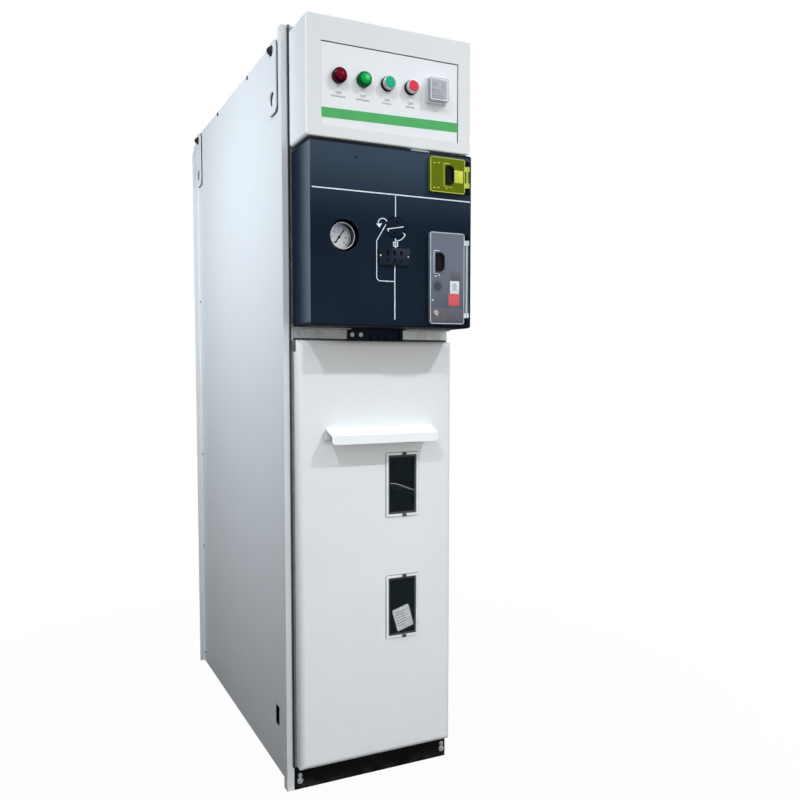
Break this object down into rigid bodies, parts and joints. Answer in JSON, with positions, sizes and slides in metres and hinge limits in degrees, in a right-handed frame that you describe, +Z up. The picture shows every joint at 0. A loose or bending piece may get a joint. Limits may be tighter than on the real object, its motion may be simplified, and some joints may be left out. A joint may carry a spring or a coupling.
{
  "type": "ring main unit cubicle",
  "caption": "Free-standing sheet-steel ring main unit cubicle with instrument box, black mechanism cover with hinged lids, and a lift-off front panel with windows and a handle.",
  "frame": {"origin": "on the floor under the middle of the unit's bounding box", "axes": "+Z up, front faces -Y, +X to the right seen from the front"},
  "size_m": [0.395, 0.962, 1.5995],
  "materials": {
    "white_paint": "smooth satin powder coat",
    "galvanised": "zinc-coated sheet, dull metallic",
    "black_paint": "black semi-gloss paint",
    "cover_paint": "blue-black satin powder coat",
    "seal_rubber": "matt black rubber",
    "black_plastic": "moulded black plastic",
    "white_plastic": "moulded white plastic",
    "grey_plastic": "moulded grey plastic",
    "yellow_clear": "clear yellow-green plastic",
    "smoke_clear": "smoke-tinted clear plastic",
    "clear_plastic": "clear plastic",
    "window_pane": "clear polycarbonate over a dark compartment",
    "gauge_glass": "clear glass",
    "bright_metal": "bright plated metal",
    "dial_white": "white printed dial",
    "needle_black": "black painted pointer",
    "red_lens": "dark red lens",
    "green_lens": "green lens",
    "green_cap": "green moulded cap",
    "red_cap": "red moulded cap"
  },
  "bodies": {
    "case": {"left_end_panel": "white_paint", "right_side_panel": "white_paint", "rear_panel": "white_paint", "roof_panel": "white_paint", "floor_plate": "galvanised", "plinth_front": "black_paint", "plinth_rear": "black_paint", "front_post_left": "galvanised", "front_post_right": "galvanised", "edge_seal": "seal_rubber", "front_bulkhead": "galvanised", "compartment_ceiling": "galvanised", "cable_bracket": "galvanised", "middle_rail_left": "galvanised", "middle_rail_right": "galvanised", "interlock_block": "black_plastic", "interlock_plugs": "white_plastic", "mechanism_cover": "cover_paint", "gauge_case": "bright_metal", "gauge_dial": "dial_white", "gauge_needle": "needle_black", "gauge_glass": "gauge_glass", "voltage_indicator": "black_plastic", "upper_hinge": "black_plastic", "lower_hinge": "bright_metal", "instrument_box": "white_paint", "inset_plate": "white_paint", "control_collars": "black_plastic", "red_lamp": "red_lens", "green_lamp": "green_lens", "button_bezels": "bright_metal", "meter_case": "grey_plastic", "meter_cover": "clear_plastic", "lifting_lugs_left": "white_paint", "lifting_lugs_right": "white_paint"},
    "front_panel": {"front_panel": "white_paint", "panel_handle": "white_paint", "window_rims": "grey_plastic", "window_panes": "window_pane"},
    "upper_lid": {"upper_lid": "yellow_clear", "upper_latch": "black_plastic"},
    "lower_lid": {"lower_lid": "smoke_clear", "lower_latch": "black_plastic"},
    "position_indicator": {"position_indicator": "black_plastic"},
    "green_button": {"green_button": "green_cap"},
    "red_button": {"red_button": "red_cap"}
  },
  "joints": [
    {"name": "front_panel_lift", "type": "slide", "parent": "case", "child": "front_panel", "axis": [0, 0, 1], "range_m": [0, 0.018]},
    {"name": "upper_lid_hinge", "type": "hinge", "parent": "case", "child": "upper_lid", "pos_m": [0.1752, -0.4716, 1.305], "axis": [0, 0, 1], "range_deg": [0, 110]},
    {"name": "lower_lid_hinge", "type": "hinge", "parent": "case", "child": "lower_lid", "pos_m": [0.1752, -0.4716, 1.093], "axis": [0, 0, 1], "range_deg": [0, 110]},
    {"name": "indicator_turn", "type": "hinge", "parent": "case", "child": "position_indicator", "pos_m": [0.0082, -0.409, 1.1915], "axis": [0, -1, 0], "range_deg": [0, 79]},
    {"name": "green_button_press", "type": "slide", "parent": "case", "child": "green_button", "axis": [0, 1, 0], "range_m": [0, 0.004], "stiffness_N_per_m": 600},
    {"name": "red_button_press", "type": "slide", "parent": "case", "child": "red_button", "axis": [0, 1, 0], "range_m": [0, 0.004], "stiffness_N_per_m": 600}
  ]
}
